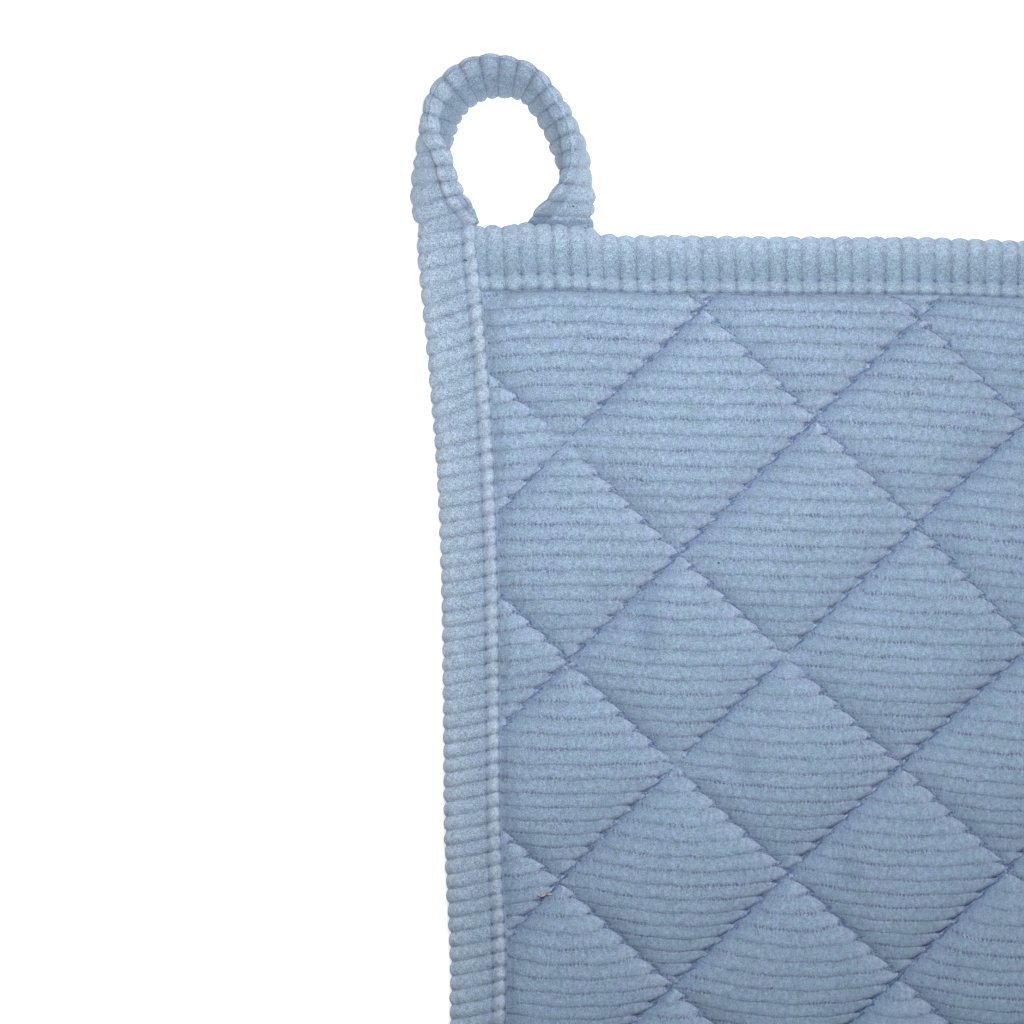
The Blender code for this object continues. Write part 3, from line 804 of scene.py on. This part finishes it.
# Lighter, bluer colours than the pad's same corduroy: painted light on the binding.
binding_corduroy = corduroy(
    "binding_corduroy", pile=((151, 175, 198), (161, 185, 206)), deep=(98, 120, 160), pale=(186, 204, 226),
    tick_reach=0.2, groove_line=0.4, ruffled=1.3, rounded=0.06, leaning=0.0)
SEAT = LIP + 1.6
bound = []
for side in ("top", "bottom", "right"):
    reach = HALF if side == "right" else SEAT
    at, counts = wale_steps(-reach, reach, even_pitch)
    middle, across, up = along_edge(side, at)
    raised = foot(at) if side == "top" else 0 * at
    strip, points = lofted(f"binding_{side}_cloth", middle, across, up, 0 * up, counts, raised, 0 * at,
                           rounded_ends(at, -reach, reach), front_shade=0.42, ridge_highlight=0.5)
    strip.data.materials.append(binding_corduroy)
    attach(strip, "root")
    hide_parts(f"binding_{side}")
    bound.append(points)

# ---- The left binding and its loop --------------------------------------------------------------------
# The left strip runs on past the top corner with its two lips sewn together, turns on edge as it bends
# over into a hanging loop, and its end is tucked flat under the top binding and caught in that seam.

LEFT_PITCH = 2.93
PITCH_GROWTH = 0.40
PITCH_FROM = 10
PITCH_RUN = 80
# The wales' slant across the strip in degrees: below, near the top and at the loop's start.
SLANT_LOW = 9.0
SLANT_HIGH = 19.0
SLANT_LOOP = 12.0
SLANT_EASE = 14.0
# Where the loop starts, over what length it closes, how far before its end it turns flat, and how far
# it stands clear of the table.
LOOP_START = 98.5
LOOP_EASE = 7.0
FOOT_SETTLE = 22.0
FOOT_TURN = 8
LOOP_CLEAR = 0.25
LOOP_READINGS = 40
LOOP = (
    # x, y, roll, width, thickness
    (-94.3, 100.2, 4, 11.8, 6.2), (-95.6, 104.0, 39, 11.8, 5.6), (-96.4, 108.5, 57, 11.8, 5.0),
    (-96.6, 113.5, 74, 11.8, 4.8), (-97.1, 118.0, 97, 11.8, 4.8), (-96.2, 122.6, 110, 11.8, 4.6),
    (-93.2, 127.0, 118, 11.8, 4.2), (-88.2, 129.9, 121, 11.8, 3.9), (-82.9, 130.2, 116, 11.8, 3.9),
    (-77.7, 128.7, 106, 11.8, 4.2), (-74.2, 124.6, 99, 11.8, 4.5), (-71.5, 119.8, 98, 11.8, 4.5),
    (-69.9, 114.8, 90, 11.8, 4.6), (-69.4, 110.0, 78, 11.8, 4.0), (-69.9, 105.8, 50, 11.8, 3.6),
    (-71.6, 102.0, 14, 12.3, 2.6), (-72.1, 98.6, 0, 13.0, 1.8), (-72.1, 92.4, 0, 13.0, 1.8))


def left_pitch(at):
    """The wales are crowded where the left edge is drawn in, and open out towards the loop."""
    return LEFT_PITCH + PITCH_GROWTH * ease((np.asarray(at) - PITCH_FROM) / PITCH_RUN)


def unit(vectors):
    """The vectors drawn out or in to a length of 1."""
    return vectors / np.linalg.norm(vectors, axis=-1, keepdims=True)


def along_loop():
    """The middles and directions of the loop's sections, resting on the table, and their wales."""
    start = along_edge("left", np.array([LOOP_START]))[0][0]
    rows = [(start[0], start[1], 0, BAND_WIDTH, BAND_HEIGHT), *LOOP]
    readings = np.linspace(0, len(LOOP), LOOP_READINGS * len(LOOP) + 1)
    columns = [curve_through(column, readings) for column in zip(*rows)]
    travelled = np.concatenate([[0], np.cumsum(np.hypot(np.diff(columns[0]), np.diff(columns[1])))])
    at, counts = wale_steps(0, travelled[-1], even_pitch)
    at, counts = at[1:], counts[1:]
    x, y, roll, width, thickness = (np.interp(at, travelled, column) for column in columns)
    before, after = (np.clip(at + reach, 0, travelled[-1]) for reach in (-1, 1))
    run, rise = (np.interp(after, travelled, column) - np.interp(before, travelled, column)
                 for column in columns[:2])
    forward = unit(np.column_stack((run, rise, 0 * run)))
    turned = ease(at / LOOP_EASE)
    square = np.column_stack((forward[:, 1], -forward[:, 0], 0 * run))
    level = unit(np.array((1.0, 0, 0)) + (square - np.array((1.0, 0, 0))) * turned[:, None])
    settled = ease((at - travelled[-1] + FOOT_SETTLE) / FOOT_TURN)[:, None]
    level = unit(level + (np.array((-1.0, 0, 0)) - level) * settled)
    angle = np.radians(roll)[:, None]
    across = (level * np.cos(angle) + np.array((0, 0, 1.0)) * np.sin(angle)) * (width / BAND_WIDTH)[:, None]
    up = unit(np.cross(across, forward)) * (thickness / BAND_HEIGHT)[:, None]
    _, out, height, _ = section_of_strip(turned)
    lowest = np.min(across[:, 2:] * (out - BAND_WIDTH / 2) + up[:, 2:] * (height - BAND_HEIGHT / 2), axis=1)
    middle = np.column_stack((x, y, LOOP_CLEAR * turned - lowest))
    slant = forward * (math.tan(math.radians(SLANT_LOOP)) * (1 - turned))[:, None]
    return middle, across, up, slant, counts, turned, at, travelled[-1]


at, counts = wale_steps(-HALF, LOOP_START, left_pitch)
middle, across, up = along_edge("left", at)
degrees = SLANT_LOW + (SLANT_HIGH - SLANT_LOW) * ease((at - 45) / 25)
degrees -= (SLANT_HIGH - SLANT_LOOP) * ease((at - 78) / 20)
slant = np.column_stack((0 * at, np.tan(np.radians(degrees)) * ease((at + HALF) / SLANT_EASE), 0 * at))
loop_middle, loop_across, loop_up, loop_slant, loop_counts, loop_turned, loop_at, loop_length = along_loop()
left_counts = np.concatenate((counts, counts[-1] + loop_counts))
both = [np.concatenate(pair) for pair in (
    (middle, loop_middle), (across, loop_across), (up, loop_up), (slant, loop_slant))]
whole_at = np.concatenate((at, LOOP_START + loop_at))
# The ridge has a painted highlight on the pad and painted shade along the loop's far side. A painted
# shadow darkens the gap where the loop's foot goes in under the top binding.
up_loop = whole_at - LOOP_START
foot_gap = np.exp(-((both[0][:, 1] - 100.9) / 0.6) ** 2) * (whole_at > LOOP_START + 30)
left_strip, left_points = lofted(
    "binding_left_loop_cloth", *both, left_counts, 0 * whole_at, np.concatenate((0 * at, loop_turned)),
    rounded_ends(whole_at, -HALF, LOOP_START + loop_length), front_shade=0.15,
    ridge_highlight=2.2 - 2.1 * ease((up_loop - 10) / 30), ridge_shade=0.5 * ease((up_loop - 24) / 12), gap=foot_gap)
# A still lighter copy for the left strip and its loop: painted light.
left_strip.data.materials.append(corduroy(
    "loop_corduroy", pile=((158, 179, 202), (169, 190, 210)), deep=(98, 120, 160), pale=(190, 206, 226),
    tick_reach=0.2, groove_line=0.4, ruffled=1.4, rounded=0.06, leaning=0.0))
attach(left_strip, "root")
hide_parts("binding_left_loop")
(LOOP_START + HALF + loop_length) * MM
bound.append(left_points)

# ---- The sewing ---------------------------------------------------------------------------------------
# Polyester thread. The bindings are lockstitched through, a stitch to each wale, so that a row shows on
# both faces, and the quilting is sewn the same way along its seams.

THREAD_RADIUS = 0.19
THREAD_SIDES = 6
THREAD_RINGS = 4
BINDING_STITCH = 2.5
QUILTING_STITCH = 2.7
QUILTING_PITCH = 3.2
QUILTING_COUNT = 45
QUILTING_MARGIN = 2.5
# How far to the right of a seam its stitches lie, and how deep on a rising one (True) and a falling one.
QUILTING_SIDE = 0.3
QUILTING_SUNK = {True: 0.14, False: 0.26}
QUILTING_BACK = 0.9


def add_threads(bm, spans, radius):
    """Short lengths of thread, each rounded off where it dips into the cloth."""
    row = bmesh.new()
    for span in spans:
        start, end = (Vector(place) * MM for place in span)
        run = end - start
        turn = run.to_track_quat("Z", "Y").to_matrix().to_4x4()
        size = Matrix.Diagonal((radius * MM, radius * MM, run.length / 2, 1))
        bmesh.ops.create_uvsphere(row, u_segments=THREAD_SIDES, v_segments=THREAD_RINGS, radius=1,
                                  matrix=Matrix.Translation((start + end) / 2) @ turn @ size)
    mesh = bpy.data.meshes.new("threads")
    row.to_mesh(mesh)
    row.free()
    bm.from_mesh(mesh)
    bpy.data.meshes.remove(mesh)


def fine_piece(name, bm, material):
    """A finished piece of the thread or lint in a bmesh."""
    mesh = bpy.data.meshes.new(name)
    bm.to_mesh(mesh)
    bm.free()
    mesh.shade_smooth()
    mesh.materials.append(material)
    piece = bpy.data.objects.new(name, mesh)
    bpy.context.scene.collection.objects.link(piece)
    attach(piece, "root")
    return piece


def fibre(name, colour, worn):
    """Fine fibres, lying along the piece and mottled with a second colour."""
    material = bpy.data.materials.new(name)
    material.use_nodes = True
    tree = material.node_tree
    place = Shade(tree).node("ShaderNodeTexCoord", output="Object").scaled(1 / MM)
    strands = place.noise(3.2, 2.0, 0.7)
    tone = place.node("ShaderNodeMix", {"data_type": "RGBA"}, {
        0: strands.between(0.35, 0.65), 6: linear(*colour), 7: linear(*worn)}, 2)
    shader = tree.nodes["Principled BSDF"]
    bump = place.node("ShaderNodeBump", {}, {"Height": strands, "Strength": 0.6, "Distance": 0.1 * MM})
    tree.links.new(tone.socket, shader.inputs["Base Color"])
    tree.links.new(bump.socket, shader.inputs["Normal"])
    shader.inputs["Roughness"].default_value = 0.8
    shader.inputs["Specular IOR Level"].default_value = 0.2
    return material


def on_front(x, y):
    """The nearest point of the pad's front."""
    surface = front[0].reshape(-1, 3)
    return surface[np.argmin((surface[:, 0] - x) ** 2 + (surface[:, 1] - y) ** 2)]


bm = bmesh.new()
for points in bound:
    columns = (STITCH_PLACES[0], FIRST_FINE + 2 * (STITCH_PLACES[1] - FIRST_FINE))
    first_crest = len(BAND_ROWS) + BAND_ROWS.index(0.5)
    crests = range(first_crest, len(points) - 2 * len(BAND_ROWS), len(BAND_ROWS))
    for column in columns:
        ways = {row: unit(points[row + 1, column] - points[row - 1, column]) for row in crests}
        add_threads(bm, [[points[row, column] + ways[row] * side * BINDING_STITCH / 2 for side in (-1, 1)]
                         for row in crests], THREAD_RADIUS)
# The binding's thread is coloured darker than its own light blue: painted shade, as it lies sunk in the
# pile.
binding_stitches = fine_piece(
    "binding_stitches", bm, fibre("binding_thread", (140, 160, 190), (168, 186, 212)))

bm = bmesh.new()
for normal, distance, rising in seams():
    way = np.array((-normal[1], normal[0]))
    middles = [normal * (distance + QUILTING_SIDE) + way * step * QUILTING_PITCH
               for step in range(-QUILTING_COUNT, QUILTING_COUNT + 1)]
    spans = []
    for middle in middles:
        if np.max(np.abs(middle)) < LIP - QUILTING_MARGIN:
            ends = [lie(*(middle + way * side * QUILTING_STITCH / 2)) for side in (-1, 1)]
            front_level = on_front(*lie(*middle))[2] - QUILTING_SUNK[rising]
            spans += [[(*end, level) for end in ends] for level in (front_level, QUILTING_BACK)]
    if spans:
        add_threads(bm, spans, THREAD_RADIUS)
# The quilting's thread is coloured darker still: painted shade in the seams' creases.
quilting_stitches = fine_piece(
    "quilting_stitches", bm, fibre("quilting_thread", (92, 112, 158), (118, 138, 178)))

# ---- The lint -----------------------------------------------------------------------------------------
# Two loose fibres that cling to the pile near the left binding, one tan and wavy and one pale and pink,
# and three dark specks, on the left binding, on the pad and on the loop.

LINT_RADIUS = 0.24
TAN_LINT = ((-76.6, -32.6), (-75.8, -33.2), (-75.0, -33.0), (-73.4, -32.8))
PINK_LINT = ((-84.8, -43.1), (-84.1, -44.1), (-83.1, -44.9))
for name, route, colour, worn in (
        ("lint_tan", TAN_LINT, (206, 186, 140), (206, 176, 162)),
        ("lint_pink", PINK_LINT, (214, 206, 216), (196, 180, 196))):
    bm = bmesh.new()
    spots = [on_front(*place) + np.array((0, 0, LINT_RADIUS)) for place in route]
    add_threads(bm, list(zip(spots, spots[1:])), LINT_RADIUS)
    lint = fine_piece(name, bm, fibre(name, colour, worn))

SPECK_RADIUS = 0.2
SPECK_REACH = np.array((0.22, 0.08, 0.0))
SPECKS = ((-90.8, 93.3), (-41.1, 33.3), (-69.35, 103.45))


def on_cloth(x, y):
    """The cloth's highest point near a place."""
    cloth = np.concatenate([table.reshape(-1, 3) for table in (front[0], *bound)])
    return cloth[np.argmin(np.hypot(cloth[:, 0] - x, cloth[:, 1] - y) - cloth[:, 2] / 2)]


bm = bmesh.new()
spots = [on_cloth(*place) for place in SPECKS]
add_threads(bm, [(spot - SPECK_REACH, spot + SPECK_REACH) for spot in spots], SPECK_RADIUS)
specks = fine_piece("lint_specks", bm, fibre("lint_specks", (58, 60, 84), (88, 80, 84)))

# ---- The studio ---------------------------------------------------------------------------------------
# A white table lit softly from above, with a little more light from the right, and the camera straight
# above the top left corner, as close as the photograph was taken.

VIEW_MIDDLE = (-0.0816, 0.0432)
VIEW_WIDTH = 0.2048
CAMERA_HEIGHT = 1.2
SENSOR = 36.0

bm = bmesh.new()
bmesh.ops.create_grid(bm, x_segments=1, y_segments=1, size=1.5)
table_mesh = bpy.data.meshes.new("table")
bm.to_mesh(table_mesh)
bm.free()
table = bpy.data.objects.new("table", table_mesh)
bpy.context.scene.collection.objects.link(table)
white = bpy.data.materials.new("white_table")
white.use_nodes = True
white_shader = white.node_tree.nodes["Principled BSDF"]
white_shader.inputs["Base Color"].default_value = (0.9, 0.9, 0.9, 1.0)
white_shader.inputs["Roughness"].default_value = 0.9
white_shader.inputs["Specular IOR Level"].default_value = 0.0
white_shader.inputs["Emission Color"].default_value = (1.0, 1.0, 1.0, 1.0)
white_shader.inputs["Emission Strength"].default_value = 0.55
table.data.materials.append(white)


def soft_light(name, place, aim, size, power, colour):
    """A square soft light at a place, turned towards its aim."""
    lamp = bpy.data.lights.new(name, "AREA")
    lamp.color = colour
    lamp.shape = "SQUARE"
    lamp.size = size
    lamp.energy = power
    light = bpy.data.objects.new(name, lamp)
    bpy.context.scene.collection.objects.link(light)
    light.location = place
    light.rotation_euler = (Vector(place) - Vector(aim)).to_track_quat("Z", "Y").to_euler()
    return light


soft_light("front_light", (-0.062, 0.10, 0.245), (-0.062, 0.10, 0), 0.12, 0.61, (1.0, 0.99, 0.965))
soft_light("right_light", (0.8, 0.36, 0.55), (-0.05, 0.03, 0), 0.4, 1.49, (0.93, 0.97, 1.0))

world = bpy.data.worlds.new("studio")
bpy.context.scene.world = world
world.use_nodes = True
world.node_tree.nodes["Background"].inputs["Color"].default_value = (0.80, 0.92, 1.0, 1.0)
world.node_tree.nodes["Background"].inputs["Strength"].default_value = 0.18

lens = bpy.data.cameras.new("camera")
lens.sensor_width = SENSOR
lens.lens = SENSOR * CAMERA_HEIGHT / VIEW_WIDTH
lens.clip_start = 0.05
lens.clip_end = 10.0
camera = bpy.data.objects.new("camera", lens)
bpy.context.scene.collection.objects.link(camera)
camera.location = (*VIEW_MIDDLE, CAMERA_HEIGHT)
bpy.context.scene.camera = camera
bpy.context.scene.view_settings.view_transform = "Standard"
